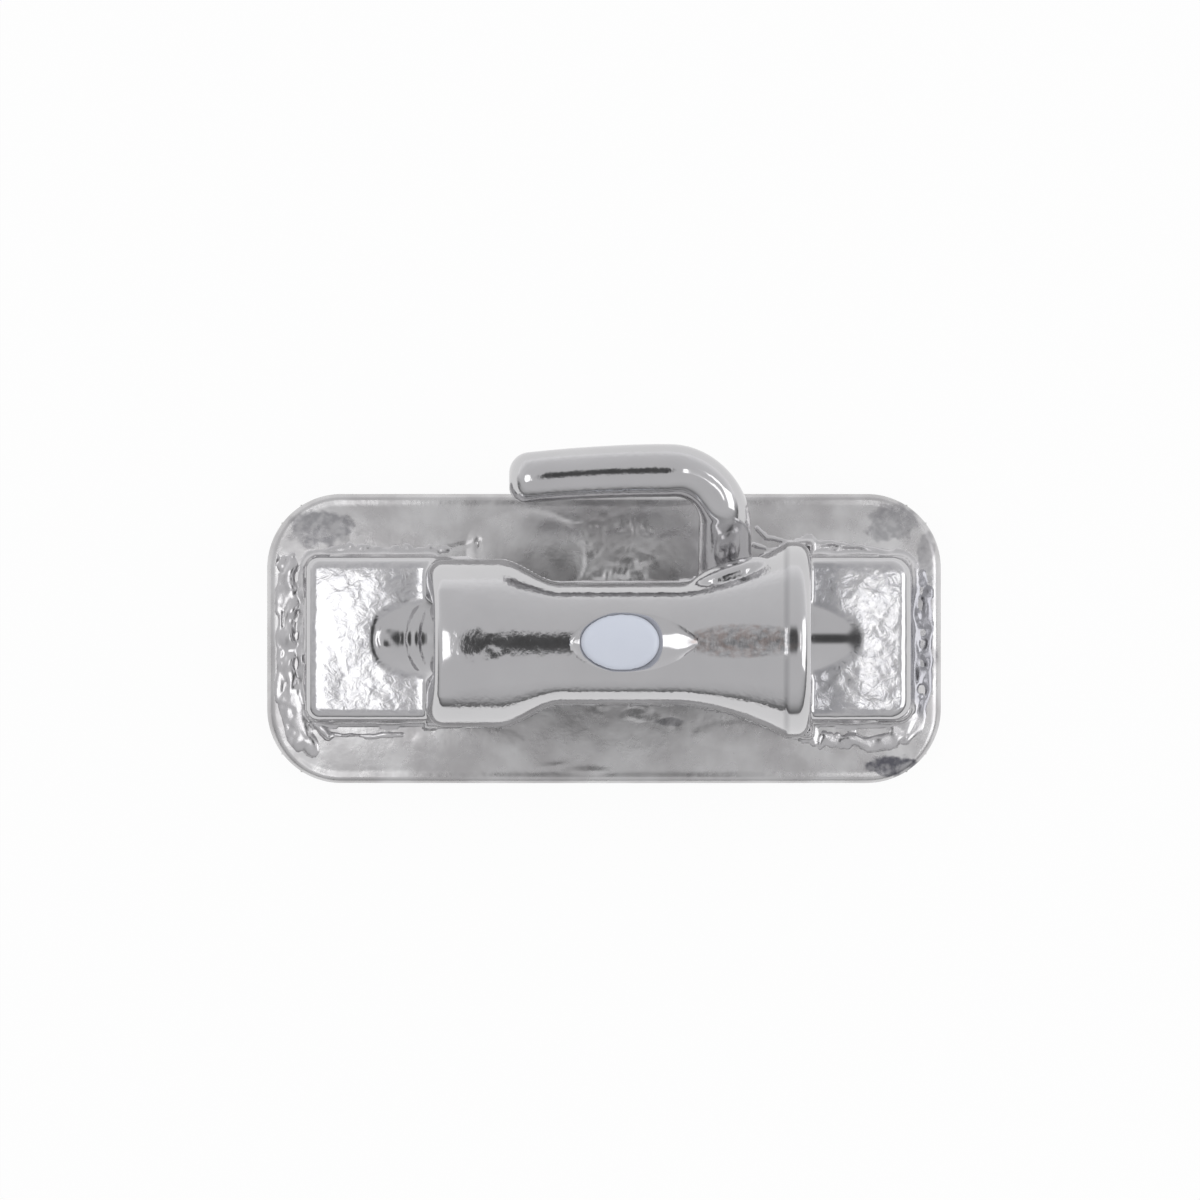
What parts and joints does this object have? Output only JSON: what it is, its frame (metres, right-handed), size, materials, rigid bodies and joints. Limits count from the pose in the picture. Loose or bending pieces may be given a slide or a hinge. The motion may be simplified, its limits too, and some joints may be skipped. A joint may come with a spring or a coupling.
{
  "type": "buccal tube",
  "caption": "Bondable molar tube for an archwire, with a flared barrel, a hook turned back over it, flat wings and a curved pad.",
  "frame": {"origin": "the middle of the screen's tooth side, level with its wires there", "axes": "+X along the archwire slot towards the flared mesial end, +Y towards the side the hook is on, +Z away from the tooth"},
  "size_m": [0.0068, 0.0034, 0.0021],
  "materials": {
    "polished_steel": "cast stainless steel, tumbled and electropolished to a soft mirror",
    "pad_steel": "thin stainless sheet with a wavy, bright surface",
    "screen_steel": "annealed stainless wire, matt grey",
    "braze_alloy": "solidified braze, bright, with small beads and runs",
    "white_enamel": "fired enamel, faintly blue white, satin"
  },
  "bodies": {
    "root": {"tube_body": "polished_steel", "base_pad": "pad_steel", "bonding_screen": "screen_steel", "braze_fillet": "braze_alloy", "colour_mark": "white_enamel"}
  },
  "joints": []
}
